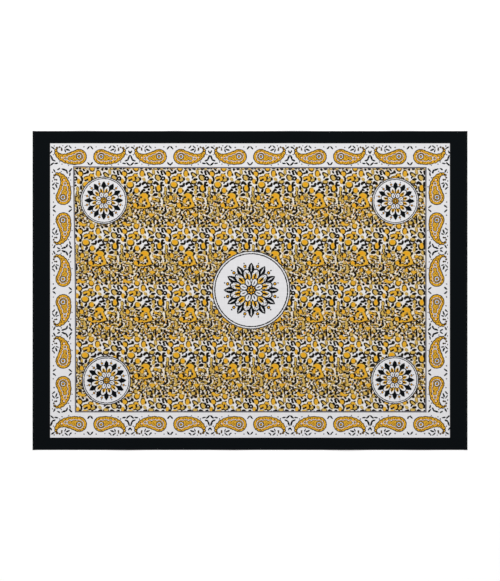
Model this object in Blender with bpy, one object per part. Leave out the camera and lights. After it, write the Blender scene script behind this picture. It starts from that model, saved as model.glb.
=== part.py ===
"""A kanga wrap cloth laid flat on a surface, face up.

The kanga is one rectangular panel of printed cotton. Its two long edges are the
selvedges of the loom, and its two cut ends are each finished with a narrow hem: the
panel's own end, turned under twice and sewn down, so that it lies in thicker layers.

Metres, +Z up. +X runs along the length, from hem to hem, and +Y across the width,
from selvedge to selvedge. The origin is at the middle of the underside.
"""

import math

import bmesh
import bpy

# The cloth as it lies.
LENGTH = 1.500
WIDTH = 1.100
WALL = 0.0012
SELVEDGE_RADIUS = 0.0004

# The hem at each cut end, and the seam between it and the single layer of the panel.
HEM_WIDTH = 0.010
HEM_LAYERS = 2
HEM_THICKNESS = HEM_LAYERS * WALL
HEM_FOLD_RADIUS = 0.0009
SEAM_GAP = 0.0003
PANEL_LENGTH = LENGTH - 2 * (HEM_WIDTH + SEAM_GAP)

ROUNDING_SEGMENTS = 3
SHARP_ANGLE_DEG = 40

# Each cotton's slot, colour and roughness.
COTTON_PRINT = ("printed_cotton", (0.47, 0.36, 0.20, 1.0), 0.85)
COTTON_BLACK = ("black_cotton", (0.012, 0.014, 0.016, 1.0), 0.88)


def clear_scene():
    for item in list(bpy.data.objects):
        bpy.data.objects.remove(item, do_unlink=True)


def cotton(name, colour, roughness):
    material = bpy.data.materials.new(name)
    material.use_nodes = True
    shader = material.node_tree.nodes["Principled BSDF"]
    shader.inputs["Base Color"].default_value = colour
    shader.inputs["Roughness"].default_value = roughness
    shader.inputs["Metallic"].default_value = 0.0
    return material


def flat_strip(name, size, rounded, radius, material, collection):
    """A strip of cloth of one size, whose edges that pass the test are rounded."""
    shape = bmesh.new()
    bmesh.ops.create_cube(shape, size=1.0)
    bmesh.ops.scale(shape, vec=size, verts=shape.verts)
    edges = [edge for edge in shape.edges if rounded(edge)]
    bmesh.ops.bevel(
        shape,
        geom=edges,
        offset=radius,
        segments=ROUNDING_SEGMENTS,
        profile=0.5,
        affect="EDGES",
    )
    mesh = bpy.data.meshes.new(name)
    shape.to_mesh(mesh)
    shape.free()
    mesh.shade_smooth()
    mesh.set_sharp_from_angle(angle=math.radians(SHARP_ANGLE_DEG))
    mesh.materials.append(material)
    strip = bpy.data.objects.new(name, mesh)
    collection.objects.link(strip)
    return strip


def lies_along(edge, axis):
    """Whether an edge runs along an axis, 0 for X, 1 for Y and 2 for Z."""
    run = edge.verts[1].co - edge.verts[0].co
    return abs(run[axis]) > 0 and all(run[i] == 0 for i in range(3) if i != axis)


def add_panel(collection, material):
    """The single layer of cloth between the hems, with a soft edge along each selvedge."""
    panel = flat_strip(
        "panel",
        (PANEL_LENGTH, WIDTH, WALL),
        lambda edge: lies_along(edge, axis=0),
        SELVEDGE_RADIUS,
        material,
        collection,
    )
    panel.location = (0.0, 0.0, WALL / 2)


def add_hem(name, side, collection, material):
    """The hem at one end. Its outer side is the fold, so both edges there are round."""

    def at_the_fold(edge):
        return lies_along(edge, axis=1) and edge.verts[0].co.x * side > 0

    hem = flat_strip(
        name,
        (HEM_WIDTH, WIDTH, HEM_THICKNESS),
        at_the_fold,
        HEM_FOLD_RADIUS,
        material,
        collection,
    )
    hem.location = (side * (LENGTH - HEM_WIDTH) / 2, 0.0, HEM_THICKNESS / 2)


def build_kanga():
    clear_scene()
    collection = bpy.data.collections.new("kanga")
    bpy.context.scene.collection.children.link(collection)
    add_panel(collection, cotton(*COTTON_PRINT))
    black = cotton(*COTTON_BLACK)
    for name, side in (("hem_left", -1), ("hem_right", 1)):
        add_hem(name, side, collection, black)


build_kanga()
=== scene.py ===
"""A kanga wrap cloth laid flat, face up: one length of printed cotton with both ends hemmed.

The cloth lies with its length along X and its width along Y. Its mesh is in metres, and
its print is drawn in millimetres from the middle of the cloth.
"""

import math

import bpy
import numpy as np
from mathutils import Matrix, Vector


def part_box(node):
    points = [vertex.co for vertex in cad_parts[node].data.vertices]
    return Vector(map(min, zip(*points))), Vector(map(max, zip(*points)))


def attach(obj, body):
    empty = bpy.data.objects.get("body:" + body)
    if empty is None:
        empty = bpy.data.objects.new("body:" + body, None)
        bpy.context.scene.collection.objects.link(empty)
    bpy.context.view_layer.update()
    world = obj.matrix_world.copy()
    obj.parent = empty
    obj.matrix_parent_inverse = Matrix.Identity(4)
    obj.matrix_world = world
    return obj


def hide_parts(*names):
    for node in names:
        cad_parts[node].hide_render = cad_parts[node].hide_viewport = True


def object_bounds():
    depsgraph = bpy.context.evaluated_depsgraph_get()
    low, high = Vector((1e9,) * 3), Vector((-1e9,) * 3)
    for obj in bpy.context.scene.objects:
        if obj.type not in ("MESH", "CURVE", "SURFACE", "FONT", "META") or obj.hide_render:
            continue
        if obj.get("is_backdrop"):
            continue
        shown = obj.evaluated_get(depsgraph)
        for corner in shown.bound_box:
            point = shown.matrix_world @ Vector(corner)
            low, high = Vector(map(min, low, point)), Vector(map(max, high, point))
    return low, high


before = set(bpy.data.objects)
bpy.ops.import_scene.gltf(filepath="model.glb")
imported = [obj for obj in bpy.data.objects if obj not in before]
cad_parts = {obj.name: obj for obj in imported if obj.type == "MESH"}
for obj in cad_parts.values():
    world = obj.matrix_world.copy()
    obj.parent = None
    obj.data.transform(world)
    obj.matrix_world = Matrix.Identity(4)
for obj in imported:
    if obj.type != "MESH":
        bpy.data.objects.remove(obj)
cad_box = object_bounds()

# ----------------------------------------------------------
# The cloth. One length of plain-woven cotton, under half a millimetre thick, between two
# selvedges. Each cut end is turned under twice, so that three plies lie on each other
# there with the raw edge inside, and it lies on the floor in low ripples.

HALF_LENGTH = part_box("hem_right")[1].x
HALF_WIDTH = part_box("panel")[1].y
HEM = HALF_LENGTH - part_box("hem_right")[0].x

# A ply's thickness, how far apart the plies of a hem lie, and the slope up to them.
PLY = 0.00045
PLY_PITCH = 0.00050
HEM_SLOPE = 0.005
RAW_EDGE_SHORT_OF_FOLD = 0.0012
# How finely the mesh follows the folds, the hem and the open cloth.
FOLD_STEPS = 8
HEM_STEPS = 16
GRID = 0.010

# The selvedge's breadth, its extra thickness as a share of the ply, and its rounded edge.
SELVEDGE = 0.006
SELVEDGE_EXTRA = 0.30
SELVEDGE_ROUNDING = 0.00022
ROUNDED_OFF = 0.8

# Each ripple's middle, the way its crest runs, its length and breadth, and its rise.
# x, y, turn in degrees, length, breadth, rise
RIPPLES = (
    (-0.575, 0.520, 82, 0.420, 0.170, 0.0021),
    (-0.255, 0.545, 96, 0.300, 0.150, 0.0016),
    (0.150, 0.530, 88, 0.380, 0.190, 0.0023),
    (0.520, 0.540, 103, 0.340, 0.160, 0.0018),
    (-0.430, -0.535, 94, 0.360, 0.180, 0.0020),
    (-0.060, -0.545, 84, 0.280, 0.150, 0.0015),
    (0.330, -0.530, 99, 0.440, 0.200, 0.0024),
    (0.600, -0.500, 76, 0.300, 0.160, 0.0014),
    (-0.330, 0.130, 28, 0.520, 0.210, 0.0013),
    (0.390, -0.090, -34, 0.480, 0.200, 0.0012),
)
RIPPLES_END_BEFORE_HEM = 0.012
RIPPLES_FADE = 0.070

# The creases left by storing the cloth folded in four along its length and in two across.
CREASE_LINES_X = (-0.375, 0.0, 0.375)
CREASE_LINE_Y = 0.0
CREASE_RISE = 0.00016
CREASE_BREADTH = 0.009


def eased(value, start, end):
    """0 up to `start` and 1 from `end` on, with a soft rise between them."""
    part = np.clip((value - start) / (end - start), 0.0, 1.0)
    return part * part * (3.0 - 2.0 * part)


def hump(distance, breadth):
    """1 on a ridge's crest, falling softly to 0 at half its breadth."""
    return np.cos(np.clip(distance / breadth, -0.5, 0.5) * math.pi) ** 2


def half_of_length():
    """The cloth's middle surface from the middle to one raw edge, as rows of X, height and turn.

    The turn is how far the face has rolled over, 0 where it looks up.
    """
    low = PLY / 2
    fold_x = HALF_LENGTH - PLY / 2 - PLY_PITCH
    turn_x = HALF_LENGTH - HEM + PLY
    slope_x = HALF_LENGTH - HEM - HEM_SLOPE
    rows = []
    open_cloth = np.arange(GRID / 2, slope_x - GRID / 2, GRID)
    for x in (*open_cloth, *np.linspace(slope_x, fold_x, HEM_STEPS)):
        rows.append((x, low + 2 * PLY_PITCH * eased(x, slope_x, slope_x + HEM_SLOPE), 0.0))
    for turn in np.linspace(0.0, math.pi, FOLD_STEPS + 1)[1:]:
        rows.append(
            (fold_x + PLY_PITCH * math.sin(turn), low + PLY_PITCH * (1 + math.cos(turn)), turn)
        )
    rows.append(((fold_x + turn_x) / 2, low, math.pi))
    for turn in np.linspace(math.pi, 2 * math.pi, FOLD_STEPS + 1):
        rows.append(
            (turn_x + PLY_PITCH / 2 * math.sin(turn), low + PLY_PITCH / 2 * (1 + math.cos(turn)), turn)
        )
    rows.append(((fold_x + turn_x) / 2, low + PLY_PITCH, 2 * math.pi))
    rows.append((fold_x - RAW_EDGE_SHORT_OF_FOLD, low + PLY_PITCH, 2 * math.pi))
    return np.array(rows)


def rows_across():
    """The places across the width that get a row of points, closer together at the selvedges."""
    edge = (SELVEDGE, SELVEDGE / 2, SELVEDGE_ROUNDING * 2, SELVEDGE_ROUNDING, 0.0)
    upper = HALF_WIDTH - np.array(edge)
    middle = np.linspace(-upper[0], upper[0], round(2 * upper[0] / GRID) + 1)
    return np.concatenate((-upper[:0:-1], middle, upper[1:]))


def lift(x, y):
    """How far the open cloth stands off the floor, in ripples and in faint fold creases."""
    height = np.zeros_like(x)
    for middle_x, middle_y, turn, length, breadth, rise in RIPPLES:
        angle = math.radians(turn)
        along = (x - middle_x) * math.cos(angle) + (y - middle_y) * math.sin(angle)
        aside = (y - middle_y) * math.cos(angle) - (x - middle_x) * math.sin(angle)
        height = np.maximum(height, rise * hump(along, length) * hump(aside, breadth))
    crease = hump(y - CREASE_LINE_Y, CREASE_BREADTH)
    for line in CREASE_LINES_X:
        crease = np.maximum(crease, hump(x - line, CREASE_BREADTH))
    calm = 1.0 - eased(
        np.abs(x),
        HALF_LENGTH - HEM - RIPPLES_END_BEFORE_HEM - RIPPLES_FADE,
        HALF_LENGTH - HEM - RIPPLES_END_BEFORE_HEM,
    )
    return (height + CREASE_RISE * crease) * calm


def half_thickness(y):
    """Half the ply, which the selvedge's doubled threads thicken, rounded off at its edge."""
    inward = HALF_WIDTH - np.abs(y)
    thick = 1.0 + SELVEDGE_EXTRA * (1.0 - eased(inward, SELVEDGE / 2, SELVEDGE))
    outward = 1.0 - np.clip(inward / (2 * SELVEDGE_ROUNDING), 0.0, 1.0)
    return PLY / 2 * thick * np.sqrt(1.0 - outward**2 * ROUNDED_OFF)


def cloth_shell():
    """The cloth's mesh: its face, its reverse and the thin edge between them, all closed."""
    right = half_of_length()
    left = right[::-1] * (-1.0, 1.0, -1.0)
    across = rows_across()
    length_rows = np.concatenate((left, right)).T[:, :, None]
    x, z, turn, y = np.broadcast_arrays(*length_rows, across)
    # Only the cloth that still looks up stands off the floor, and not the turned plies.
    z = z + lift(x, y) * (turn == 0.0)
    half = half_thickness(y)
    face = np.stack((x + half * np.sin(turn), y, z + half * np.cos(turn)), axis=-1)
    reverse = np.stack((x - half * np.sin(turn), y, z - half * np.cos(turn)), axis=-1)
    rows, columns = x.shape
    index = np.arange(rows * columns).reshape(rows, columns)
    under = index + rows * columns

    def quads(a, b, c, d):
        return np.stack((a, b, c, d), axis=-1).reshape(-1, 4)

    sides = (
        quads(index[:-1, :-1], index[1:, :-1], index[1:, 1:], index[:-1, 1:]),
        quads(under[:-1, :-1], under[:-1, 1:], under[1:, 1:], under[1:, :-1]),
        quads(index[:-1, 0], under[:-1, 0], under[1:, 0], index[1:, 0]),
        quads(index[:-1, -1], index[1:, -1], under[1:, -1], under[:-1, -1]),
        quads(index[0, :-1], index[0, 1:], under[0, 1:], under[0, :-1]),
        quads(index[-1, :-1], under[-1, :-1], under[-1, 1:], index[-1, 1:]),
    )
    points = np.concatenate((face.reshape(-1, 3), reverse.reshape(-1, 3)))
    mesh = bpy.data.meshes.new("cloth")
    mesh.from_pydata(points.tolist(), [], np.concatenate(sides).tolist())
    side_of_face = np.repeat(np.arange(len(sides)), [len(side) for side in sides])

    travelled = np.concatenate(((0.0,), np.cumsum(np.hypot(np.diff(x[:, 0]), np.diff(z[:, 0])))))
    spread_map(mesh, side_of_face, travelled, across, rows * columns)
    reverse_side = mesh.attributes.new("reverse", "FLOAT", "POINT")
    reverse_side.data.foreach_set("value", np.repeat((0.0, 1.0), rows * columns))
    mesh.shade_smooth()
    return mesh, travelled[-1]


# Where the face, the reverse, the two selvedges' edges and the two cut ends' edges lie in the
# cloth's own flat map.
# bottom, top
MAP_BANDS = (
    (0.003, 0.705),
    (0.715, 0.965),
    (0.970, 0.975),
    (0.978, 0.983),
    (0.986, 0.990),
    (0.993, 0.997),
)
FIRST_SELVEDGE = 2
FIRST_CUT_END = 4
MAP_MARGIN = 0.002


def spread_map(mesh, side_of_face, travelled, across, reverse_start):
    """Lays the face, the reverse and the edges side by side in the cloth's own flat map, named OFBake."""
    corner_point = np.empty(len(mesh.loops), dtype=np.int64)
    mesh.loops.foreach_get("vertex_index", corner_point)
    side = np.repeat(side_of_face, 4)
    on_reverse = corner_point >= reverse_start
    row, column = np.divmod(corner_point % reverse_start, len(across))
    along = travelled[row] / travelled[-1]
    aside = (across[column] - across[0]) / (across[-1] - across[0])
    bottom, top = np.array(MAP_BANDS)[side].T
    u = np.where(side >= FIRST_CUT_END, aside, along)
    v = np.where(side >= FIRST_SELVEDGE, on_reverse, aside)
    u = MAP_MARGIN + (1.0 - 2 * MAP_MARGIN) * u
    v = bottom + (top - bottom) * v
    layer = mesh.uv_layers.new(name="OFBake")
    layer.data.foreach_set("uv", np.stack((u, v), axis=-1).ravel())


cloth_mesh, cut_length = cloth_shell()
cloth = bpy.data.objects.new("printed_cloth", cloth_mesh)
bpy.context.scene.collection.objects.link(cloth)
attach(cloth, "root")
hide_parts("panel", "hem_left", "hem_right")


# ----------------------------------------------------------
# The cotton itself, and the way its print is drawn. Inks soak a little way along the
# threads, so every printed edge wanders and is soft by a few tenths of a millimetre.


class Ink:
    """A socket of the cotton's material, so that sums on it are written as expressions."""

    def __init__(self, tree, socket):
        self.tree = tree
        self.socket = socket

    def node(self, kind, settings, sockets, output=0):
        """Any other node: its settings are made first, then its sockets get values or links."""
        node = self.tree.nodes.new("ShaderNode" + kind)
        for name, value in settings.items():
            setattr(node, name, value)
        for name, value in sockets.items():
            if isinstance(value, Ink):
                self.tree.links.new(value.socket, node.inputs[name])
            else:
                node.inputs[name].default_value = value
        return Ink(self.tree, node.outputs[output])

    def math(self, operation, *others):
        return self.node("Math", {"operation": operation}, dict(enumerate((self, *others))))

    def vector(self, operation, *others, output="Vector"):
        return self.node(
            "VectorMath", {"operation": operation}, dict(enumerate((self, *others))), output
        )

    def __add__(self, other):
        return self.math("ADD", other)

    def __sub__(self, other):
        return self.math("SUBTRACT", other)

    def __mul__(self, other):
        return self.math("MULTIPLY", other)

    def __truediv__(self, other):
        return self.math("DIVIDE", other)

    def __rsub__(self, other):
        return self.node("Math", {"operation": "SUBTRACT"}, {0: other, 1: self})

    def __abs__(self):
        return self.math("ABSOLUTE")

    __radd__ = __add__
    __rmul__ = __mul__

    def parts(self):
        """The X, Y and Z of a place."""
        split = self.tree.nodes.new("ShaderNodeSeparateXYZ")
        self.tree.links.new(self.socket, split.inputs[0])
        return [Ink(self.tree, part) for part in split.outputs]

    def at(self, other):
        """The place whose X is this value and whose Y is the other."""
        return self.node("CombineXYZ", {}, {0: self, 1: other})

    def eases(self, start, end):
        """0 at `start` and 1 at `end`, with a soft step between them."""
        return self.node(
            "MapRange",
            {"interpolation_type": "SMOOTHSTEP"},
            {"Value": self, "From Min": start, "From Max": end},
        )

    def inked(self, colour, cover):
        """This colour with another printed over it where `cover` is 1."""
        # A Mix node's sockets go by number: 0 is the factor, and 6 and 7 are the colours.
        return self.node("Mix", {"data_type": "RGBA"}, {0: cover, 6: self, 7: colour}, 2)

    def vector_mix(self, off, on):
        """The place `off` where this value is 0 and the place `on` where it is 1."""
        return self.node("Mix", {"data_type": "VECTOR"}, {0: self, 4: off, 5: on}, 1)


MM_IN_A_METRE = 1000.0
SHEEN_ROUGHNESS = 0.45


def cotton(name, roughness, sheen, specular):
    """A cotton's material: its shader, and the place on the cloth in millimetres."""
    material = bpy.data.materials.new(name)
    material.use_nodes = True
    tree = material.node_tree
    shader = tree.nodes["Principled BSDF"]
    shader.inputs["Roughness"].default_value = roughness
    shader.inputs["Specular IOR Level"].default_value = specular
    shader.inputs["Sheen Weight"].default_value = sheen
    shader.inputs["Sheen Roughness"].default_value = SHEEN_ROUGHNESS
    where = Ink(tree, tree.nodes.new("ShaderNodeTexCoord").outputs["Object"])
    return material, shader, where.vector("MULTIPLY", (MM_IN_A_METRE,) * 3)


CLOTH_ROUGHNESS = 0.86
printed_cotton, cotton_shader, place = cotton(
    "kanga_cotton", roughness=CLOTH_ROUGHNESS, sheen=0.03, specular=0.05
)
cloth.data.materials.append(printed_cotton)

x, y, _ = place.parts()
flat_place = x.at(y)
reach_x = abs(x)
reach_y = abs(y)

# How far the printed edges wander, how often in a millimetre, and how far they stay soft.
INK_WANDERS = 3.2
WANDERS_IN_A_MM = 0.22
SOFT = 0.4
soaking = place.node(
    "TexNoise",
    {"noise_dimensions": "2D"},
    {"Vector": place, "Scale": WANDERS_IN_A_MM, "Detail": 1.5},
    "Color",
)
soaked = soaking.vector(
    "MULTIPLY_ADD", (INK_WANDERS, INK_WANDERS, 0.0), (-INK_WANDERS / 2, -INK_WANDERS / 2, 0.0)
)
bled_place = flat_place.vector("ADD", soaked)

# The inks and the bare cotton, as the share of red, green and blue light that each returns.
BARE_COTTON = (0.668, 0.662, 0.676, 1.0)
WARM_COTTON = (0.740, 0.600, 0.330, 1.0)
OCHRE = (0.688, 0.320, 0.012, 1.0)
YELLOW = (0.600, 0.380, 0.050, 1.0)
AMBER = (0.640, 0.343, 0.028, 1.0)
GOLD = (0.525, 0.347, 0.080, 1.0)
BLACK = (0.0016, 0.0028, 0.0038, 1.0)
BROWN = (0.060, 0.030, 0.008, 1.0)
DARK_BROWN = (0.031, 0.017, 0.003, 1.0)
RIM_BROWN = (0.035, 0.020, 0.003, 1.0)
SOOT = (0.0108, 0.0076, 0.0045, 1.0)
CHARCOAL = (0.060, 0.055, 0.068, 1.0)
GREY = (0.130, 0.125, 0.140, 1.0)

TURN_STEP = 10


def blots(point, marks, melt):
    """How far a point is from the nearest oval mark: 1 on its edge, less inside it.

    A mark's row gives its middle, its length and breadth, and its turn in degrees, which
    is kept to the nearest ten. Marks within `melt` of each other run together.
    """
    ways = {}
    for middle_x, middle_y, length, breadth, turn in marks:
        way = TURN_STEP * round(turn / TURN_STEP) % 180
        ways.setdefault(way, []).append((middle_x, middle_y, length, breadth))
    near = None
    for way, ovals in sorted(ways.items()):
        cos, sin = math.cos(math.radians(way)), math.sin(math.radians(way))
        turned = point
        if way:
            turned = point.node(
                "VectorRotate", {"rotation_type": "Z_AXIS"}, {"Vector": point, "Angle": -math.radians(way)}
            )
        for middle_x, middle_y, length, breadth in ovals:
            along = middle_x * cos + middle_y * sin
            aside = middle_y * cos - middle_x * sin
            scale = (2 / length, 2 / breadth, 0.0)
            in_mark = turned.vector("MULTIPLY_ADD", scale, (-along * scale[0], -aside * scale[1], 0.0))
            far = in_mark.vector("LENGTH", output="Value")
            near = far if near is None else near.math("SMOOTH_MIN", far, melt)
    return near


# How far from its middle a mark can show, as a share of its length.
REACH_OF_MARK = 0.62


def repeated(marks, period):
    """The marks of one repeat, and again those of its neighbours that reach over its edges."""
    for middle_x, middle_y, length, *shape in marks:
        for shift_x in (-period[0], 0.0, period[0]):
            for shift_y in (-period[1], 0.0, period[1]):
                x, y = middle_x + shift_x, middle_y + shift_y
                over_x = max(-x, x - period[0])
                over_y = max(-y, y - period[1])
                if max(over_x, over_y) < REACH_OF_MARK * length:
                    yield (x, y, length, *shape)


def screen(name, point, marks, melt, laid_off=(0.0, 0.0)):
    """The marks of one ink in a node group of their own, as a printer has a screen for each.

    `laid_off` is how far that screen was laid from true. No two screens of the same place
    have it alike, or the renderer runs their sums together and has no room left for them.
    """
    tree = bpy.data.node_groups.new(name, "ShaderNodeTree")
    tree.interface.new_socket("Place", in_out="INPUT", socket_type="NodeSocketVector")
    tree.interface.new_socket("Edge", in_out="OUTPUT", socket_type="NodeSocketFloat")
    place_in = Ink(tree, tree.nodes.new("NodeGroupInput").outputs[0])
    edge = blots(place_in.vector("ADD", (*laid_off, 0.0)), marks, melt)
    tree.links.new(edge.socket, tree.nodes.new("NodeGroupOutput").inputs[0])
    return point.node("Group", {"node_tree": tree}, {0: point})


# Where a fleck's soft edge starts and where it is full, as shares of its size.
FLECK_EDGE = (0.62, 0.42)


def flecks(point, spacing, size):
    """Small round flecks, strewn about `spacing` apart."""
    far = point.node(
        "TexVoronoi",
        {"voronoi_dimensions": "2D"},
        {"Vector": point, "Scale": 1.0 / spacing, "Randomness": 0.85},
        "Distance",
    )
    return far.eases(*(size / spacing * edge for edge in FLECK_EDGE))


# ----------------------------------------------------------
# The leopard-spot field. The same small repeat fills the whole middle of the cloth: ochre,
# amber and gold spots with a brown rim that is heavier on one side, and loose black strokes.
# Each ink has a screen of its own.

# Half the field's length and width, its middle, and the repeat with its upper left corner.
FIELD = (606.7, 423.4)
FIELD_MIDDLE = (2.5, 2.75)
REPEAT = (151.2, 196.2)
REPEAT_START = (-410.5, 423.6)

# Middle to the right and down, length, breadth, turn, and the rim's width and way.
# right, down, long, broad, turn, rim, towards
OCHRE_SPOTS = (
    (147, 59, 21, 18, 10, 2.8, 70), (18.5, 79.5, 17.5, 15.5, 80, 1.3, 150),
    (94.5, 71, 22, 13.5, 90, 1.6, 90), (44, 97.5, 27.5, 18.5, 8, 2.2, 0),
    (14.5, 129.5, 18, 14, -20, 0.8, 160), (55, 113, 22, 9, 66, 0.6, -20),
)
AMBER_SPOTS = (
    (16.5, 3.5, 16, 13.5, 60, 2.2, 100), (37.8, 22.3, 20, 13, 90, 1.7, 250),
    (6.5, 39.5, 19, 12, 75, 1.8, 0), (15.5, 28, 15, 10, 20, 1, 200),
    (127, 22, 17, 14, 60, 2, -20), (121.5, 48, 16, 11.5, 75, 0.4, 90),
    (148.5, 37.3, 17.5, 10, -10, 1.2, -100), (33, 115, 15, 12.5, 80, 0.8, 200),
    (38, 106, 14, 9, -30, 0.6, 180), (60.5, 125.5, 20, 9.5, 62, 0.8, -20),
    (28, 137.5, 26, 8.5, 0, 0.6, 90), (45, 137, 20, 6.5, -12, 0.8, -90),
    (55.5, 133, 13, 9.5, -20, 0.8, 90), (135.7, 104.5, 15.5, 13, 80, 1.2, -20),
    (44, 154.5, 13, 9, 80, 0.8, 0), (69, 162.5, 18, 11, 10, 1, 60),
    (128.5, 192, 16, 10.5, 40, 0.8, -70), (139.5, 196, 14, 8.5, 0, 0.8, 0),
    (80, 109, 16, 9, 20, 0.6, 90),
)
GOLD_SPOTS = (
    (21.5, 43, 14, 10, -30, 1.6, 120), (44, 41.5, 11, 8, 40, 0.2, 0),
    (92.3, 36.5, 18.5, 12, 55, 2.4, 200), (77, 16, 16, 8, 80, 0.8, 60),
    (70.5, 84.5, 13, 9, -70, 0.6, 0), (98, 95, 14, 9, 85, 0.8, 0),
    (118, 75.5, 15, 8.5, 85, 1, -60), (118, 89, 15, 6.5, 80, 1, 180),
    (136.5, 78, 13, 7, 80, 0.8, 180), (151, 94, 12, 9, 0, 0.4, 90),
    (105, 3, 13, 9, 0, 0.8, 180), (91, 112, 12, 8, 80, 1, 90),
    (119, 114, 8, 6, 0, 0.4, 90), (151, 110, 12, 8, -60, 1, 0),
    (79, 129, 8, 5, 0, 0.8, 20), (137, 131, 13, 7, 0, 1.2, 90),
    (112, 131, 10, 6, 80, 0.3, 0), (84, 149, 9, 5, 0, 1, 180),
    (94, 149.5, 13, 5.5, -5, 1, 90), (99, 156, 9, 5, 0, 0.4, 0),
    (129.5, 155, 8, 6, 80, 1.6, 60), (121, 162, 10, 6, -30, 1, 150),
    (133, 172, 8, 5, 0, 1.2, 20), (103.5, 187, 8, 6, 80, 1, 0),
    (12.3, 184, 13, 11, 60, 1.2, 180), (71, 184, 12, 4.5, 90, 0.6, 180),
    (39, 196, 9, 6, 85, 0.8, 180), (85, 199.5, 12, 8, 0, 1, 180),
    (147.5, 193.5, 8, 4, 0, 1.2, 90), (146.3, 146, 22, 8, 85, 0.6, 0),
    (147, 161.5, 13, 8, -20, 1.2, 90), (31, 171, 9, 6, 80, 0.8, 0),
    (41, 168, 10, 6, 80, 0.4, 0), (65.5, 27, 16.5, 7.5, 45, 3, 225),
    (65, 49.5, 15, 10, 0, 2.4, 90), (71.5, 70.5, 13, 10.5, 60, 2.4, -80),
    (67, 170, 8, 5, 80, 1.4, 90), (89.5, 172, 12, 10.5, 80, 0.8, 100),
    (57, 189.5, 14, 11, 10, 2, 0), (117.5, 106, 17, 9.5, -55, 1.2, 180),
    (125, 116.5, 12, 8, 90, 1.4, 0),
)

# Middle to the right and down, length, breadth and turn.
# right, down, long, broad, turn
BLACK_STROKES = (
    (36, 3.5, 10, 7, 0), (51.5, 8, 9.5, 7.5, 60), (65.5, 5.3, 12, 8.5, 8),
    (61, 34.5, 11, 6, -62), (16.3, 36.5, 13, 4.5, 85), (1, 41, 6.5, 5.5, 0),
    (10, 48.5, 6, 4.5, 0), (31, 40, 11.5, 8, 80), (18.3, 53.3, 8.5, 5.5, -55),
    (70, 41.5, 16, 8, -8), (91.5, 5.5, 8.5, 5.5, 70), (97.5, 3, 6.5, 4.5, 0),
    (115, 4, 10, 6.5, 0), (125, 5, 7.5, 5.5, 0), (92, 17, 12, 6.5, 50),
    (103.5, 15.5, 9, 6.5, 60), (106.3, 21.5, 13, 8.5, 68), (108.5, 12, 14, 4.8, 5),
    (116, 19.5, 16, 6.8, 65), (129, 13, 8, 6.5, 20), (139, 9, 12, 6, 50),
    (1.3, 15.8, 12.5, 9, 85), (145.2, 20.3, 15, 6.5, -20), (98, 27.7, 10, 6, 20),
    (101, 31, 9, 6, 75), (109.5, 38.5, 16.5, 15, 0), (131, 35, 10, 6.5, 35),
    (133.3, 41.5, 17, 6.8, 86), (129, 53, 10.5, 10.5, 0), (81.3, 53.5, 14.5, 8.5, -50),
    (88.5, 55, 17, 9, 42), (147, 44.3, 14, 6, -20), (44.5, 53, 17, 8.5, -15),
    (39.5, 57.5, 8, 7.5, 60), (54, 57.5, 11, 6, 58), (49, 69, 15, 7.8, -5),
    (56.5, 66.5, 13, 9, -20), (23, 64.5, 17, 7.8, 0), (30, 59.8, 15, 8, -80),
    (8, 88, 12, 9, 90), (36.5, 84.3, 19.5, 7.8, -52), (44.3, 77.5, 12, 7, 40),
    (55.5, 86.5, 13.5, 9.5, -5), (60.2, 76, 9, 7.5, 15), (77, 72, 7, 6.5, 0),
    (77.5, 83.5, 9.5, 6.5, -30), (83.7, 93.7, 15.5, 11, -10), (79.5, 95, 12, 8, -20),
    (85, 74.5, 20, 5.2, 85), (94.5, 84.5, 17, 4.5, 0), (103, 61, 22, 8.3, 88),
    (105, 77, 15, 6, 95), (106.5, 52.5, 10, 7, -10), (109.8, 62, 10, 7, 0),
    (129.5, 69.5, 16, 8, 88), (135, 87.5, 21, 7, 6), (149.8, 80.3, 15, 8.3, -55),
    (62, 97.5, 9.5, 7.5, 80), (34, 102.5, 8.5, 7, 0), (104.3, 97.5, 12, 6.5, 75),
    (127.2, 99, 13, 6.8, 80), (15, 97, 12, 6.5, 10), (21.5, 99.3, 9, 6, 10),
    (138, 118.5, 9, 7.5, 0), (148.5, 122.3, 14, 7, 25), (112.8, 123.5, 9, 6.8, 5),
    (111.5, 117, 6, 5.5, 0), (78, 137.5, 11, 8, 45), (86, 141.5, 11, 6.8, 25),
    (105.5, 142, 12, 6.8, -72), (117, 137, 10, 6.2, 85), (117.8, 147.5, 15, 8, 85),
    (110.5, 157, 16, 8, -30), (21, 164, 11, 7, 55), (24.3, 170, 13, 6.3, 88),
    (20.5, 177.5, 9.5, 6.5, -40), (77.5, 180, 26, 6.5, 88), (96.5, 169.5, 13, 6, 72),
    (88.5, 181, 7.5, 6, 0), (90.5, 190.3, 13, 9, -25), (106.5, 191, 12, 6.5, 75),
    (117, 188.3, 11, 6, -30), (130.5, 181.3, 12, 9, 0), (66.5, 191.8, 9, 8, 40),
    (60.5, 181.5, 10, 7, -25), (32, 187, 9, 7, 40), (1.5, 170.3, 9, 7, 0),
    (53, 161, 12, 6.3, -60), (2.3, 121.3, 11, 6.5, -35), (23.2, 127.5, 12.5, 7, 80),
    (21, 124, 9, 6, 5), (51.8, 123, 9.5, 7, 85), (45.5, 132, 8.5, 7, 85),
    (68.5, 129.3, 11, 6, 58), (22.3, 146, 9, 7.5, 85), (17, 106.5, 9, 6, -25),
    (59.3, 141, 8, 6.8, 0), (108.5, 174.5, 11, 7, 60), (102.5, 179.8, 8, 6.5, 20),
    (142, 183, 8, 6, 0), (38, 179, 8, 6, 0), (4, 133.5, 8, 6, 80),
)
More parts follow.
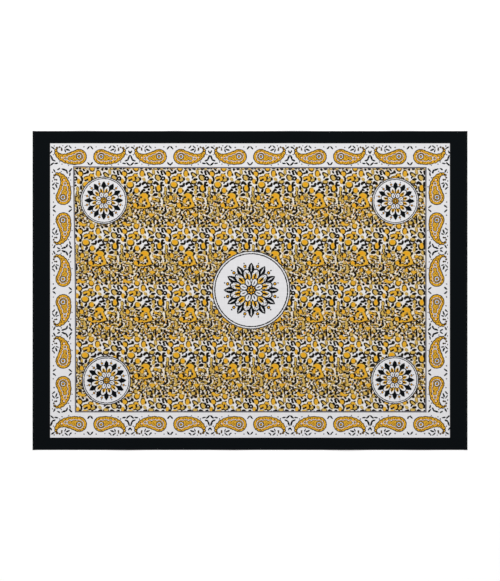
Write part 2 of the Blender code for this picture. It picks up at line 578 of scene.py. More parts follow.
# Smaller brown ticks, most of them in the lower part of the repeat, where its marks are finer.
# right, down, long, broad, turn
BROWN_TICKS = (
    (72.5, 25.5, 13, 5, 52), (46.8, 25, 10, 6.5, 80), (20, 21.5, 8, 5, -30),
    (25, 34, 6, 5, 0), (26, 48.5, 10, 5, -30), (27.5, 81, 9, 5, 80),
    (18.5, 115, 10, 5, 25), (21.5, 117, 6, 4, 0), (9, 110, 5, 3, 90),
    (27, 109, 10, 6.5, -50), (46, 113.8, 9, 6, -15), (39.5, 117, 7, 4, 85),
    (38.5, 127.3, 6, 3.5, 0), (31, 132, 8, 3.5, 0), (10.5, 140.3, 6, 4.5, 0),
    (40, 147, 13, 6, -60), (48.5, 141.8, 12, 5, -5), (33.5, 141.5, 8, 4.5, 10),
    (38, 134.5, 8, 3, -20), (21.8, 133, 8, 5, 80), (56, 139, 6, 4, -20),
    (66.5, 138, 14, 3.2, -3), (65, 145.5, 10, 5.5, -15), (69.5, 151, 10, 5, 60),
    (83, 113.5, 8, 4.5, 0), (86, 107, 8, 3.5, 0), (80, 121.5, 8, 6, 85),
    (97, 109.5, 12, 3.6, 50), (98.5, 118, 9, 7, 20), (87, 127, 8, 4, -40),
    (98, 133, 8, 4.5, 0), (89, 135, 10, 5.2, 80), (121, 84.5, 8, 4.5, 70),
    (112.5, 92, 6, 4, 0), (121.5, 104.5, 10, 4.6, 70), (121, 118.5, 8, 2.6, 80),
    (125, 130.8, 11, 4.8, 0), (130.5, 146, 7.5, 6, 85), (139, 143.5, 8, 4.5, 20),
    (125, 140, 7, 5, 40), (0, 139.5, 8, 6, 30), (2.3, 145, 8, 3, 85),
    (5.8, 151.8, 10, 7.5, -30), (12.5, 161.5, 7, 5, -60), (16.5, 155.5, 12, 5, -62),
    (28.5, 157, 10, 5, 50), (31.5, 150.5, 12, 4.6, -50), (50, 153.5, 9, 6, 80),
    (12, 174, 7, 4, -35), (35.5, 166.5, 9, 5, 80), (48, 169, 7, 4, 0),
    (58.5, 171.5, 5.5, 4.5, 80), (54.5, 174.5, 11, 4.2, -10), (48.5, 176.3, 8, 4.5, 85),
    (27, 184.5, 8, 4.5, 70), (42.5, 186, 7.5, 6, 0), (6.3, 186, 9, 4, 80),
    (2, 188.5, 8, 5, 0), (48.5, 189.3, 13, 4.5, 85), (55, 197, 8, 3, 0),
    (36, 197, 8, 3.6, 85), (89.5, 161.5, 6, 4.4, 0), (84, 176, 7, 4, 80),
    (104, 168.5, 13, 4.2, 5), (116, 174.7, 12, 5, 5), (126.5, 176, 8, 4, 0),
    (113.5, 181, 9, 5.2, 40), (105, 186, 8, 3, 80), (125.5, 166.5, 10, 4.5, 15),
    (136.5, 160.5, 12, 5.4, -60), (140, 152.5, 10, 3.6, 75), (138.5, 175, 8, 4, 60),
    (149, 190, 11, 3.6, 0), (150, 196.8, 5.5, 4, 0), (80, 197, 8, 3, 80),
    (99.8, 199, 6.5, 4.5, 85), (90, 150.5, 14, 3.5, 0), (77.5, 148.5, 5, 4, 0),
    (75, 167, 10, 4, -40), (137, 93, 9, 3.4, 0), (143.5, 104, 9, 3.4, 85),
    (95, 8, 9, 4, -40), (101, 42, 8, 4.5, 80), (87, 82.5, 9, 5, 45),
    (103, 90.5, 6, 5, 0), (121.5, 91.5, 9, 4.5, 80), (148, 108.5, 8, 4.5, -50),
    (95.5, 123.5, 9, 5, 80), (76, 119, 7, 5, 80), (70.5, 175.5, 10, 4.5, 60),
    (77.5, 143.5, 8, 6, 60), (96, 139, 9, 4.5, 75), (109, 168.5, 7, 5, 60),
)
# The larger gaps of the same part, which nothing is printed in.
# right, down, long, broad, turn
BARE_GAPS = (
    (44, 121, 9, 7, 80), (9.5, 167, 10, 7, -20), (20.5, 172, 8, 5, 80),
    (65, 106, 16, 8, -75), (105.5, 116, 34, 5.5, 84), (70.8, 124, 12, 5, 65),
    (123.5, 147, 14, 5.5, 80), (119, 157, 12, 5, -45), (103, 163.5, 14, 5, 20),
    (25.5, 152.5, 9, 6, -10), (71, 142, 6, 3.5, 0), (84, 187, 9, 6, 85),
    (95.5, 180.8, 7, 5, 60), (121, 182.5, 7, 5, 20), (111.5, 187, 8, 4, 0),
    (61, 167, 7, 6, 80), (55.5, 179.5, 9, 4, -30), (85, 101.5, 14, 4.5, 0),
    (9, 97, 9, 5, 0), (6, 194.5, 11, 8, 60), (21.5, 188, 9, 6, 80),
    (31, 196, 9, 5, 85), (73.5, 197, 9, 6, 70), (43.5, 191.5, 8, 5, 80),
    (144.5, 172.5, 7, 5, 0), (134.5, 169, 6, 3.5, 0), (89.5, 122, 10, 5, 80),
    (83, 134.5, 6, 4, 0), (95, 144.5, 8, 5, 0), (145.5, 93.5, 9, 5, 80),
    (112.5, 136, 10, 4, 80), (123, 134, 7, 3, 0), (144.5, 134, 13, 5, 85),
    (138, 112.5, 9, 5, 0), (104, 171.5, 5, 3.5, 0), (99.5, 193, 5, 3.5, 0),
    (138, 190, 8, 4, 0), (115, 197, 8, 4, 0), (7, 118, 12, 6, -10),
    (22, 109.5, 7, 5, 0), (97, 103, 8, 5, 0), (115, 167.5, 9, 6, 0),
    (83.5, 166, 10, 6, -20),
)
BARE_EYES = (
    (109.3, 38.5, 4.4, 4, 0),
    (109.8, 20, 4.2, 2.8, 70),
)


# How much broader a rim's oval is for each millimetre of the rim, and the thinnest rim.
RIM_GROWS = 1.9
THINNEST_RIM = 0.6


def rims(spots):
    """The brown ovals that lie under the spots and show round them, wider on one side."""
    for right, down, long, broad, turn, rim, towards in spots:
        way = math.radians(towards)
        grown = RIM_GROWS * rim + 2 * THINNEST_RIM
        yield (
            right + rim * math.cos(way),
            down + rim * math.sin(way),
            long + grown,
            broad + grown,
            turn,
        )


# How much a stroke grows in length and in breadth.
STROKE_SWELLS = (1.02, 1.08)


def swollen(strokes):
    """The strokes as the cotton takes them up, a little longer and a good deal broader."""
    for right, down, long, broad, turn in strokes:
        yield (right, down, long * STROKE_SWELLS[0], broad * STROKE_SWELLS[1], turn)


def plain(spots):
    """The spots without their rims."""
    return [spot[:5] for spot in spots]


# The screens did not lie quite true on the stretched cotton, so the repeats drift a few
# millimetres to the sides in the lower half of the cloth, and a little up and down.
# the most, where it turns, wave length
SIDE_DRIFT = (8.95, 49.5, 1060.0)
SIDE_DRIFT_STARTS = 397.8
SIDE_DRIFT_FULL_AFTER = 542.0
SIDE_DRIFT_REST = 0.67
RISE_DRIFT = (1.83, 95.6, 646.0)
RISE_DRIFT_REST = 0.51

bled_x, bled_y, _ = bled_place.parts()
lower = ((SIDE_DRIFT_STARTS - bled_y) * (math.pi / SIDE_DRIFT_FULL_AFTER)).math("COSINE") * -0.5 + 0.5
wave = ((bled_x - SIDE_DRIFT[1]) * (2 * math.pi / SIDE_DRIFT[2])).math("SINE")
square_x = bled_x + wave * lower * SIDE_DRIFT[0] - SIDE_DRIFT_REST
wave = ((bled_y - RISE_DRIFT[1]) * (2 * math.pi / RISE_DRIFT[2])).math("COSINE")
square_y = bled_y + wave * RISE_DRIFT[0] + RISE_DRIFT_REST
from_start = (square_x - REPEAT_START[0]).at(REPEAT_START[1] - square_y)
in_repeat = from_start.vector("WRAP", (*REPEAT, 1.0), (0.0, 0.0, -1.0))

SPOTS_MELT = 0.3
rim_marks = repeated(rims(OCHRE_SPOTS + AMBER_SPOTS + GOLD_SPOTS), REPEAT)
rim_edge = screen("spot_rims", in_repeat, rim_marks, SPOTS_MELT, (0.05, 0.01))
gold_edge, amber_edge, ochre_edge, stroke_edge, tick_edge, gap_edge = (
    screen(name, in_repeat, repeated(marks, REPEAT), SPOTS_MELT, laid_off)
    for name, marks, laid_off in (
        ("gold_spots", plain(GOLD_SPOTS), (-0.04, 0.03)),
        ("amber_spots", plain(AMBER_SPOTS), (0.02, -0.05)),
        ("ochre_spots", plain(OCHRE_SPOTS), (-0.01, 0.04)),
        ("black_strokes", swollen(BLACK_STROKES), (-0.05, -0.03)),
        ("brown_ticks", BROWN_TICKS, (0.04, 0.05)),
        ("bare_gaps", BARE_GAPS, (-0.02, -0.04)),
    )
)
eye_edge = blots(in_repeat, BARE_EYES, SPOTS_MELT)

# The lower part of each repeat is the busier one: small gold and brown spots, each with a
# dark rim on its lower right, crowd the creamier gaps between its larger marks.
# Where down a repeat it is calmest, and how busy it is where the crowd starts and is full.
CALMEST = 0.26
CROWD_STARTS = (0.30, 0.50)
# The crowd's pitch, its smallest and largest radius, its rim and its soft edge.
CROWD_PITCH = 7.6
CROWD_SPOTS = (1.7, 3.5)
CROWD_RIM = 0.85
CROWD_EDGE = 0.2
# The draws, from 0 to 1, past which a spot of the crowd is ochre or brown and not gold.
OCHRE_KINDS = (0.70, 0.74)
BROWN_KINDS = (0.22, 0.18)
down = (REPEAT_START[1] - square_y) * (1.0 / REPEAT[1])
busy = ((down - CALMEST) * (2 * math.pi)).math("COSINE") * -0.5 + 0.5
crowd = bled_place.node(
    "TexVoronoi",
    {"voronoi_dimensions": "2D"},
    {"Vector": bled_place, "Scale": 1 / CROWD_PITCH, "Randomness": 0.8},
    "Position",
)
kind, size, _ = Ink(crowd.tree, crowd.socket.node.outputs["Color"]).parts()
from_spot = bled_place.vector("SUBTRACT", crowd)
size = size * (CROWD_SPOTS[1] - CROWD_SPOTS[0]) + CROWD_SPOTS[0]
small_spot = from_spot.vector("LENGTH", output="Value") - size
small_rim = from_spot.vector("DISTANCE", (CROWD_RIM, -CROWD_RIM, 0.0), output="Value") - size

# Where an oval mark's soft edge starts and where it is full, as shares of its size.
PRINT_EDGE = (1.07, 0.95)
TICK_EDGE = (1.15, 0.85)
GAP_EDGE = (0.85, 1.15)
EYE_EDGE = (0.93, 1.05)
DEEP_OCHRE = (1.0, 0.45)
# How far round a spot the cotton is tinged, and how strongly there and in the crowd.
TINGED = (2.1, 1.0)
TINGE_ROUND_SPOTS = 0.72
TINGE_IN_CROWD = 0.40

bare = place.node("RGB", {}, {})
bare.socket.default_value = BARE_COTTON
tint = gold_edge.math("MINIMUM", amber_edge).math("MINIMUM", ochre_edge).eases(*TINGED)
tinged = (tint * TINGE_ROUND_SPOTS + busy * TINGE_IN_CROWD).math("MINIMUM", 1.0)
leopard = bare.inked(WARM_COTTON, tinged)
crowded = leopard.inked(DARK_BROWN, small_rim.eases(CROWD_RIM + CROWD_EDGE, CROWD_RIM - CROWD_EDGE))
crowded = crowded.inked(GOLD, small_spot.eases(CROWD_EDGE, -CROWD_EDGE))
for ink, kinds in ((OCHRE, OCHRE_KINDS), (BROWN, BROWN_KINDS)):
    crowded = crowded.inked(ink, small_spot.eases(CROWD_EDGE, -CROWD_EDGE) * kind.eases(*kinds))
leopard = leopard.inked(crowded, busy.eases(*CROWD_STARTS) * gap_edge.eases(*GAP_EDGE))
spots = ((RIM_BROWN, rim_edge), (GOLD, gold_edge), (AMBER, amber_edge), (YELLOW, ochre_edge))
for ink, edge in spots:
    leopard = leopard.inked(ink, edge.eases(*PRINT_EDGE))
leopard = leopard.inked(OCHRE, ochre_edge.eases(*DEEP_OCHRE))
leopard = leopard.inked(DARK_BROWN, tick_edge.eases(*TICK_EDGE))
leopard = leopard.inked(SOOT, stroke_edge.eases(*PRINT_EDGE) * eye_edge.eases(*EYE_EDGE))


# ----------------------------------------------------------
# The pale border round the field. It is bare cotton, with cashew-shaped figures in facing
# pairs, ten along each long side and six along each end, and leaf sprigs and berries.

# Half the border's length and width, one figure's share of each side, and the frame line.
BORDER = (689.4, 507.4)
LONG_SIDE_PITCH = 2 * BORDER[0] / 10
END_PITCH = 2 * FIELD[1] / 6
FRAME_LINE = 4.6

# The discs that the figure runs together from, round body first and curled tip last.
# along, outward, radius
CASHEW = (
    (-31.0, -4.0, 27.0),
    (-15.0, -8.0, 24.5),
    (1.0, -10.0, 21.0),
    (16.0, -10.0, 17.0),
    (29.0, -6.5, 13.5),
    (40.0, 0.0, 10.2),
    (47.5, 8.5, 7.6),
    (49.5, 18.0, 5.6),
    (45.0, 26.0, 4.3),
    (36.5, 29.0, 3.3),
    (29.5, 25.5, 2.6),
    (29.0, 19.5, 3.2),
)
CASHEW_MELT = 3.5
CASHEW_EYE = (-31.0, -3.0)
# The figure's layers, from its outline in: where each starts, and where it is full.
OUTLINE = (0.5, -0.5)
AMBER_BODY = (-2.6, -3.6)
OCHRE_BODY = (-4.5, -10.0)
FLECKED_BODY = (-4.0, -5.0)
AMBER_HEART = (-14.6, -15.4)
FLECKED_HEART = (-15.8, -16.4)
# The outer and inner edges of the two thin rings between its body and its heart.
PALE_RING = (-11.0, -13.0)
DARK_RING = (-12.8, -14.8)
# The eye's rings from the outer one in: the ink, where it starts, and where it is full.
EYE_RINGS = ((BLACK, 11.0, 10.0), (BARE_COTTON, 8.2, 7.3), (BLACK, 5.6, 4.8), (OCHRE, 3.0, 2.2))
# spacing, size
BODY_FLECKS = (5.6, 3.5)
HEART_FLECKS = (4.8, 2.4)
# along, outward, long, broad, turn
SPRIGS = (
    (8.0, 20.0, 16.0, 6.0, 18),
    (17.0, 16.5, 12.0, 4.6, 70),
    (14.0, 30.0, 15.0, 4.8, -36),
    (-1.0, 28.5, 12.0, 5.0, 40),
    (64.0, -7.0, 20.0, 6.4, 72),
    (57.0, -16.5, 15.0, 6.0, 22),
    (62.0, -29.0, 17.0, 6.0, -38),
    (48.0, -27.0, 14.0, 5.2, -14),
    (66.0, 12.0, 13.0, 5.2, -64),
    (60.0, 27.0, 15.0, 5.4, 30),
    (-63.0, 27.0, 15.0, 5.4, -48),
    (-64.0, -28.0, 15.0, 5.4, 48),
)
SPRIG_MELT = 0.15
SPRIG_EDGE = (1.06, 0.9)
# along, outward, radius
BERRIES = (
    (3.0, 33.0, 2.2),
    (25.0, 33.5, 2.2),
    (55.0, 33.0, 2.2),
    (36.0, -22.0, 2.4),
    (28.0, -29.5, 2.2),
    (-48.0, 30.0, 2.3),
    (-18.0, 28.0, 2.4),
    (5.0, -34.0, 2.0),
    (58.0, 3.0, 2.2),
)
BERRY_MELT = 0.4


def run_together(point, discs, melt):
    """How far a point is from the outline of a figure that runs together from discs."""
    near = None
    for along, outward, radius in discs:
        far = point.vector("DISTANCE", (along, outward, 0.0), output="Value") - radius
        near = far if near is None else near.math("SMOOTH_MIN", far, melt)
    return near


def band(edge, outer, inner, soft=0.45):
    """1 between two distances from an outline, given from the outer one in."""
    return edge.eases(outer + soft, outer - soft) * edge.eases(inner - soft, inner + soft)


# A figure's own place: along the side or the end that it stands on, and out from the middle
# of the border.
on_end = reach_y.math("LESS_THAN", FIELD[1])
side_middle = (FIELD[1] + BORDER[1]) / 2
end_middle = (FIELD[0] + BORDER[0]) / 2
along_border = x + (y - x) * on_end
out_of_middle = (reach_y - side_middle) + ((reach_x - end_middle) - (reach_y - side_middle)) * on_end
pitch = LONG_SIDE_PITCH + (END_PITCH - LONG_SIDE_PITCH) * on_end
in_pair = ((along_border / pitch).math("PINGPONG", 1.0) - 0.5) * pitch
border_place = in_pair.at(out_of_middle).vector("ADD", soaked)

cashew = run_together(border_place, CASHEW, CASHEW_MELT)
eye = border_place.vector("DISTANCE", (*CASHEW_EYE, 0.0), output="Value")
sprig_edge = screen("border_sprigs", border_place, SPRIGS, SPRIG_MELT)
berry_edge = run_together(border_place, BERRIES, BERRY_MELT)
border = bare.inked(BLACK, sprig_edge.eases(*SPRIG_EDGE))
border = border.inked(CHARCOAL, berry_edge.eases(SOFT, -SOFT))
border = border.inked(DARK_BROWN, cashew.eases(*OUTLINE))
border = border.inked(AMBER, cashew.eases(*AMBER_BODY))
border = border.inked(OCHRE, cashew.eases(*OCHRE_BODY))
border = border.inked(DARK_BROWN, flecks(border_place, *BODY_FLECKS) * cashew.eases(*FLECKED_BODY))
border = border.inked(BARE_COTTON, band(cashew, *PALE_RING))
border = border.inked(DARK_BROWN, band(cashew, *DARK_RING))
border = border.inked(AMBER, cashew.eases(*AMBER_HEART))
border = border.inked(BROWN, flecks(border_place, *HEART_FLECKS) * cashew.eases(*FLECKED_HEART))
for ink, start, full in EYE_RINGS:
    border = border.inked(ink, eye.eases(start, full))


# ----------------------------------------------------------
# The medallions. A large disc in the middle of the field and a smaller one in each corner
# of it are left bare, ringed in black, and hold a round flower head.

# Each disc's middle and its own size, the left one first. Like the field's frame, which is
# drawn out at its upper left corner, they did not come out quite square or alike.
UPPER_DISCS = ((-504.3, 310.6, 0.996), (501.9, 308.6, 0.985))
LOWER_DISCS = ((-495.2, -310.3, 1.027), (499.1, -308.6, 1.011))
MIDDLE_DISC = (4.3, 1.3, 0.0)
CORNER_BARE = 82.6
CORNER_RINGS = ((CORNER_BARE, 79.3), (77.0, 74.2))
MIDDLE_BARE = 131.8
MIDDLE_RING = (127.6, 123.8)
MIDDLE_OUTLINE = 135.2
RING_EDGE = 0.3
MIDDLE_SCALE = 1.42
# How far the field's upper left corner is drawn out, to the left and up, and from where.
CORNER_DRAWN_OUT = (6.0, 2.6)
DRAWN_LEFT_OVER_Y = (-60.0, 430.0)
DRAWN_UP_OVER_X = (-300.0, -620.0)

# The flower head, in the size that it has in a corner disc: twelve leaves and long petals
# round eight short petals and eight seeds.
LEAVES = 12
SEEDS = 8
# inner end, outer end, breadth
OUTER_LEAF = (28.0, 67.0, 17.0)
OUTER_LEAF_VEIN = (45.0, 63.0, 2.6)
LONG_PETAL_VEIN = (27.0, 44.0, 4.6)
SHORT_PETAL_VEIN = (13.0, 25.0, 3.0)
# middle, length, breadth
BUD = (59.5, 8.4, 8.4)
BUD_HEART = (59.5, 4.2, 4.2)
OUTER_DOT = (67.2, 3.6, 3.6)
LONG_PETAL = (38.0, 32.0, 19.0)
LONG_PETAL_HEART = (32.5, 18.0, 11.5)
SHORT_PETAL = (20.0, 22.0, 15.5)
SEED = (7.6, 3.8, 3.8)
# spacing, size
PETAL_FLECKS = (4.6, 2.3)
# start, full
SEED_BED = (11.6, 10.6)
PISTIL = (3.6, 2.8)
DOT_EDGE = (1.1, 0.9)


def turned_in(point, count, start=0.0):
    """The point's place along and beside the nearest of `count` spokes, for a figure that goes round."""
    east, north, _ = point.parts()
    angle = north.math("ARCTAN2", east) + start
    off_spoke = angle.math("PINGPONG", math.pi / count)
    out = point.vector("LENGTH", output="Value")
    return (out * off_spoke.math("COSINE")).at(out * off_spoke.math("SINE"))


def leaf(point, start, end, breadth):
    """How far a point is from the outline of a pointed leaf that lies along a spoke."""
    half_long, half_broad = (end - start) / 2, breadth / 2
    radius = (half_long**2 + half_broad**2) / (2 * half_broad)
    centre = ((start + end) / 2, half_broad - radius, 0.0)
    return point.vector("DISTANCE", centre, output="Value") - radius


def petal(point, middle, long, broad):
    """How far a point is from a round petal on a spoke: 1 on its edge, less inside it."""
    return blots(point, ((middle, 0.0, long, broad, 0),), 0.0)


# One flower head is drawn, in the size of the corner discs, and is enlarged in the middle one.
on_right = x.math("GREATER_THAN", 0.0)
drawn_left = y.eases(*DRAWN_LEFT_OVER_Y) * (1.0 - on_right) * CORNER_DRAWN_OUT[0]
drawn_up = x.eases(*DRAWN_UP_OVER_X) * y.math("GREATER_THAN", 0.0) * CORNER_DRAWN_OUT[1]
field_reach_x = abs(x + drawn_left - FIELD_MIDDLE[0])
field_reach_y = abs(y - drawn_up - FIELD_MIDDLE[1])
upper_disc, lower_disc = (on_right.vector_mix(*discs) for discs in (UPPER_DISCS, LOWER_DISCS))
corner_disc = y.math("LESS_THAN", 0.0).vector_mix(upper_disc, lower_disc)
disc_x, disc_y, disc_size = corner_disc.parts()
from_corner = ((bled_x - disc_x) / disc_size).at((bled_y - disc_y) / disc_size)
from_middle = bled_place.vector("SUBTRACT", MIDDLE_DISC)
corner_radius = from_corner.vector("LENGTH", output="Value")
middle_radius = from_middle.vector("LENGTH", output="Value")
in_middle = middle_radius.eases(MIDDLE_BARE + 1.0, MIDDLE_BARE - 1.0)
scaled_middle = from_middle.vector("MULTIPLY", (1 / MIDDLE_SCALE, 1 / MIDDLE_SCALE, 0.0))
head_place = in_middle.vector_mix(from_corner, scaled_middle)
head_radius = head_place.vector("LENGTH", output="Value")
on_leaf = turned_in(head_place, LEAVES)
between_leaves = turned_in(head_place, LEAVES, math.pi / LEAVES)
on_seed = turned_in(head_place, SEEDS)
on_half_seed = turned_in(head_place, SEEDS, math.pi / SEEDS)

head = bare.inked(BLACK, leaf(on_leaf, *OUTER_LEAF).eases(SOFT, -SOFT))
head = head.inked(BARE_COTTON, leaf(on_leaf, *OUTER_LEAF_VEIN).eases(SOFT, -SOFT) * in_middle)
head = head.inked(BLACK, petal(between_leaves, *BUD).eases(1.08, 0.92))
head = head.inked(OCHRE, petal(between_leaves, *BUD_HEART).eases(*DOT_EDGE))
head = head.inked(BLACK, petal(between_leaves, *OUTER_DOT).eases(*DOT_EDGE))
long_petal = petal(between_leaves, *LONG_PETAL)
head = head.inked(BLACK, long_petal.eases(1.04, 0.96))
head = head.inked(BARE_COTTON, long_petal.eases(0.84, 0.76))
petal_flecks = flecks(head_place, *PETAL_FLECKS) * long_petal.eases(0.86, 0.76)
head = head.inked(BLACK, petal_flecks * in_middle)
heart = petal(between_leaves, *LONG_PETAL_HEART)
head = head.inked(YELLOW, heart.eases(1.06, 0.94))
head = head.inked(OCHRE, heart.eases(0.9, 0.5))
head = head.inked(BLACK, leaf(between_leaves, *LONG_PETAL_VEIN).eases(SOFT, -SOFT))
short_petal = petal(on_half_seed, *SHORT_PETAL)
head = head.inked(BLACK, short_petal.eases(1.05, 0.95))
head = head.inked(BARE_COTTON, short_petal.eases(0.80, 0.70))
head = head.inked(CHARCOAL, leaf(on_half_seed, *SHORT_PETAL_VEIN).eases(SOFT, -SOFT))
head = head.inked(BLACK, head_radius.eases(*SEED_BED))
head = head.inked(OCHRE, petal(on_seed, *SEED).eases(*DOT_EDGE))
head = head.inked(GOLD, head_radius.eases(*PISTIL))
for outer, inner in CORNER_RINGS:
    head = head.inked(BLACK, band(corner_radius, outer, inner, RING_EDGE))
for outer, inner in (MIDDLE_RING, (MIDDLE_OUTLINE, MIDDLE_BARE)):
    head = head.inked(BLACK, band(middle_radius, outer, inner, RING_EDGE))
in_disc = corner_radius.eases(CORNER_BARE + RING_EDGE, CORNER_BARE - RING_EDGE).math(
    "MAXIMUM", middle_radius.eases(MIDDLE_OUTLINE + SOFT, MIDDLE_OUTLINE - SOFT)
)


# ----------------------------------------------------------
# The whole print. The field with its discs lies inside a thin grey frame line, the pale
# border runs round that, and a broad black edge runs out to the selvedges and the hems.

FRAME_LINE_EDGE = 0.35
past_field = (field_reach_x - FIELD[0]).math("MAXIMUM", field_reach_y - FIELD[1])
past_border = (reach_x - BORDER[0]).math("MAXIMUM", reach_y - BORDER[1])
field = leopard.inked(head, in_disc)
printed = border.inked(field, past_field.eases(SOFT, -SOFT))
printed = printed.inked(GREY, band(past_field, 0.0, -FRAME_LINE, FRAME_LINE_EDGE))
printed = printed.inked(BLACK, past_border.eases(-SOFT, SOFT))

# The reverse shows the print through the cotton, greyer and paler than on the face.
REVERSE_SHOWS = 0.78
REVERSE_COTTON = (0.50, 0.48, 0.47, 1.0)
on_reverse = place.node("Attribute", {"attribute_name": "reverse"}, {}, "Fac")
printed = printed.inked(REVERSE_COTTON, on_reverse * (1.0 - REVERSE_SHOWS))


# ----------------------------------------------------------
# The weave. Plain-woven threads cross about 0.42 mm apart both ways. Some are thicker than
# others, and those stand a little higher and take the light a little differently.

THREAD_PITCH = 0.42
WEAVE_RISE = 0.000010
# How often the threads' thickness changes in a millimetre along X and along Y.
WARP_CHANGES = (1.1, 0.018, 0.0)
WEFT_CHANGES = (0.014, 0.9, 0.0)
# How much the crossings and the thick warp and weft threads add to the height.
CROSSINGS_STAND = 0.5
WARP_STANDS = 1.2
WEFT_STANDS = 1.4
# How much a thick thread changes the print's lightness and its roughness.
THREADS_SHADE = 0.22
THREADS_ROUGHEN = 0.10
warp, weft = ((way * (2 * math.pi / THREAD_PITCH)).math("SINE") for way in (x, y))
thick_warp, thick_weft = (
    place.node(
        "TexNoise",
        {"noise_dimensions": "2D"},
        {"Vector": flat_place.vector("MULTIPLY", changes), "Scale": 1.0, "Detail": 2.0},
    )
    for changes in (WARP_CHANGES, WEFT_CHANGES)
)
threads = warp * weft * CROSSINGS_STAND + thick_warp * WARP_STANDS + thick_weft * WEFT_STANDS
weave = threads.node("Bump", {}, {"Strength": 1.0, "Distance": WEAVE_RISE, "Height": threads})
shade = (thick_warp + thick_weft - 1.0) * THREADS_SHADE + 1.0
finished = printed.node(
    "Mix", {"data_type": "RGBA", "blend_type": "MULTIPLY"}, {0: 1.0, 6: printed, 7: shade}, 2
)
roughness = (thick_warp + thick_weft - 1.0) * THREADS_ROUGHEN + CLOTH_ROUGHNESS
tree = printed_cotton.node_tree
tree.links.new(finished.socket, cotton_shader.inputs["Base Color"])
tree.links.new(roughness.socket, cotton_shader.inputs["Roughness"])
tree.links.new(weave.socket, cotton_shader.inputs["Normal"])


# ----------------------------------------------------------
# The hem stitches. A row of lockstitches in black cotton thread runs across each end and
# holds its three plies together, two millimetres from the edge that was turned in.

THREAD_RADIUS = 0.000175
STITCH_PITCH = 0.0030
STITCH_LENGTH = 0.0025
STITCH_FROM_TURNED_EDGE = 0.0020
STITCH_SIDES = 6
# How far the stitches below are shifted from those above, as a share of the pitch.
LOWER_STITCHES_SHIFT = 0.25
# Each ring's place along the stitch, its height over the ply and its share of the thickness.
# along, height, thickness
STITCH_RINGS = (
    (-0.5, -0.00030, 0.75),
    (-0.38, 0.00000, 0.95),
    (0.0, 0.00009, 1.0),
    (0.38, 0.00000, 0.95),
    (0.5, -0.00030, 0.75),
)

# The plies that the thread is twisted from: their slant, pitch and rise, and the lighter black of their
# crests, a painted highlight.
TWIST_SLANT = 1.6
TWIST_PITCH = 0.55
TWIST_RISE = 0.00003
LIT_BLACK = (0.012, 0.013, 0.016, 1.0)

black_thread, thread_shader, thread_place = cotton(
    "black_thread", roughness=0.7, sheen=0.1, specular=0.2
)
thread_x, thread_y, thread_z = thread_place.parts()
twist_place = thread_y * TWIST_SLANT + thread_x + thread_z
twist = (twist_place * (2 * math.pi / TWIST_PITCH)).math("SINE")
# Painted highlight: the thread's colour runs from black up to the lighter black where each ply's crest
# rises, in place of light on the twist.
painted_twist_highlight = twist.node(
    "Mix", {"data_type": "RGBA"}, {0: twist.eases(-1.0, 1.0), 6: BLACK, 7: LIT_BLACK}, 2
)
twist_bump = twist.node("Bump", {}, {"Strength": 1.0, "Distance": TWIST_RISE, "Height": twist})
black_thread.node_tree.links.new(painted_twist_highlight.socket, thread_shader.inputs["Base Color"])
black_thread.node_tree.links.new(twist_bump.socket, thread_shader.inputs["Normal"])


def stitch_row(name, side):
    """One end's stitches, above the hem and below it, joined in one piece."""
    line_x = side * (HALF_LENGTH - HEM + STITCH_FROM_TURNED_EDGE)
    top = PLY + 2 * PLY_PITCH
    count = int((2 * HALF_WIDTH - STITCH_PITCH) / STITCH_PITCH)
    points = []
    faces = []
    for surface, up, shift in ((top, 1.0, 0.0), (0.0, -1.0, LOWER_STITCHES_SHIFT)):
        for number in range(count):
            middle = (number - (count - 1) / 2 + shift) * STITCH_PITCH
            start = len(points)
            for along, height, thickness in STITCH_RINGS:
                for corner in range(STITCH_SIDES):
                    angle = 2 * math.pi * corner / STITCH_SIDES
                    radius = THREAD_RADIUS * thickness
                    points.append(
                        (
                            line_x + radius * math.cos(angle) * up,
                            middle + along * STITCH_LENGTH,
                            surface + up * (height + radius * math.sin(angle)),
                        )
                    )
            for ring in range(len(STITCH_RINGS) - 1):
                base = start + ring * STITCH_SIDES
                for corner in range(STITCH_SIDES):
                    after = (corner + 1) % STITCH_SIDES
                    above = base + STITCH_SIDES
                    faces.append((base + after, base + corner, above + corner, above + after))
            last = start + (len(STITCH_RINGS) - 1) * STITCH_SIDES
            faces.append(tuple(start + corner for corner in range(STITCH_SIDES)))
            faces.append(tuple(last + corner for corner in reversed(range(STITCH_SIDES))))
    mesh = bpy.data.meshes.new(name)
    mesh.from_pydata(points, [], faces)
    mesh.shade_smooth()
    mesh.materials.append(black_thread)
    row = bpy.data.objects.new(name, mesh)
    bpy.context.scene.collection.objects.link(row)
    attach(row, "root")
    return row


stitch_rows = [stitch_row("hem_stitches_left", -1), stitch_row("hem_stitches_right", 1)]


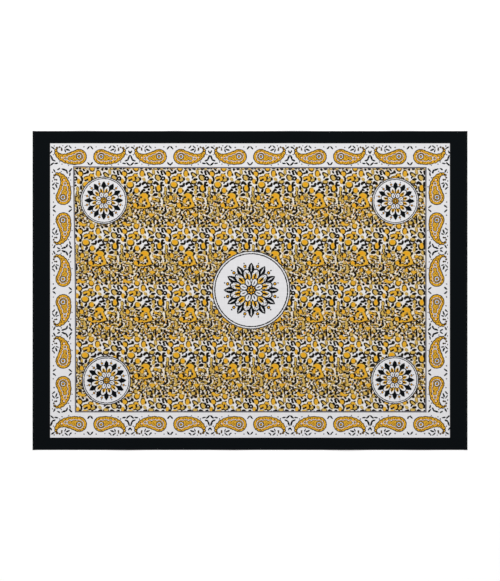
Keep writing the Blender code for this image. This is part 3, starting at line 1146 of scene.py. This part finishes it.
# ----------------------------------------------------------
# The floor, the light and the camera: a plain white floor under an even, soft light, with
# a large lamp beyond the far edge that picks out the ripples, looked straight down on.

FLOOR_RADIUS = 14.0
FLOOR_SIDES = 96
FLOOR_BELOW = 0.0003
FLOOR_WHITE = (0.99, 0.99, 0.99, 1.0)
CAMERA_HEIGHT = 4.073
CAMERA_LENS = 85.0
SKY_STRENGTH = 0.90
LAMP_POWER = 43.0
LAMP_SIZE = 1.6
LAMP_PLACE = (-0.35, 2.55, 2.4)

bpy.ops.mesh.primitive_circle_add(
    vertices=FLOOR_SIDES, radius=FLOOR_RADIUS, fill_type="NGON", location=(0.0, 0.0, -FLOOR_BELOW)
)
floor = bpy.context.object
floor.name = "floor"
floor_material = bpy.data.materials.new("floor")
floor_material.use_nodes = True
floor_shader = floor_material.node_tree.nodes["Principled BSDF"]
floor_shader.inputs["Base Color"].default_value = FLOOR_WHITE
floor_shader.inputs["Roughness"].default_value = 0.95
floor_shader.inputs["Specular IOR Level"].default_value = 0.1
floor.data.materials.append(floor_material)
floor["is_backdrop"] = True

world = bpy.data.worlds.new("sky")
world.use_nodes = True
background = world.node_tree.nodes["Background"]
background.inputs["Color"].default_value = (1.0, 1.0, 1.0, 1.0)
background.inputs["Strength"].default_value = SKY_STRENGTH
bpy.context.scene.world = world

softbox = bpy.data.lights.new("softbox", "AREA")
softbox.energy = LAMP_POWER
softbox.size = LAMP_SIZE
lamp = bpy.data.objects.new("softbox", softbox)
lamp.location = LAMP_PLACE
lamp.rotation_euler = Vector(LAMP_PLACE).to_track_quat("Z", "Y").to_euler()
lamp.visible_camera = False
bpy.context.scene.collection.objects.link(lamp)

camera_data = bpy.data.cameras.new("camera")
camera_data.lens = CAMERA_LENS
camera_data.sensor_fit = "HORIZONTAL"
camera = bpy.data.objects.new("camera", camera_data)
camera.location = (0.0, 0.0, CAMERA_HEIGHT)
bpy.context.scene.collection.objects.link(camera)
bpy.context.scene.camera = camera
bpy.context.scene.view_settings.view_transform = "Standard"

boxes = {"cad": cad_box, "visual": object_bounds()}
{name: [list(corner) for corner in box] for name, box in boxes.items()}
